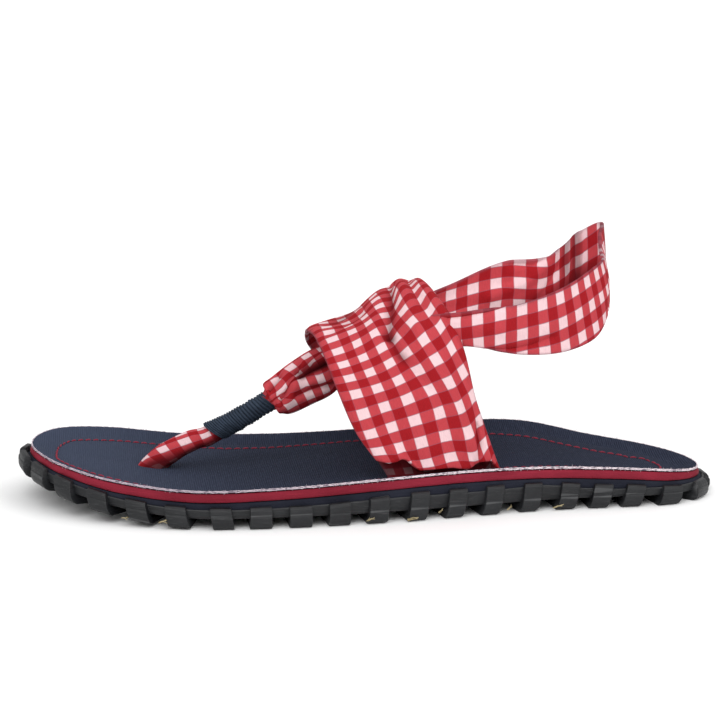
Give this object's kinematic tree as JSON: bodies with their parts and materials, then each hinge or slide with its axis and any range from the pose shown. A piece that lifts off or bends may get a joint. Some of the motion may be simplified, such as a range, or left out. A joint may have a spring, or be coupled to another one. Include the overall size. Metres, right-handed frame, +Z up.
{
  "type": "toe post sandal",
  "caption": "Left toe post sandal: a cloth instep band, toe strap and heel sling over a cupped canvas footbed on foam and a lugged rubber outsole.",
  "frame": {"origin": "on the ground under the middle of the sandal's bounding box", "axes": "+X from toe to heel, +Y from the outer side of the left foot to its inner side, +Z up"},
  "size_m": [0.261, 0.1021, 0.0995],
  "materials": {
    "rubber": "matt black moulded rubber with scuffs",
    "navy_foam": "matt cut navy foam",
    "red_foam": "matt cut red foam",
    "canvas": "ribbed slate blue canvas with red lock stitch",
    "cloth": "red and white gingham cotton",
    "thread": "close wound navy thread"
  },
  "bodies": {
    "root": {"outsole": "rubber", "midsole": "navy_foam", "footbed_foam": "red_foam", "insole_canvas": "canvas", "upper": "cloth", "toe_binding": "thread"}
  },
  "joints": []
}
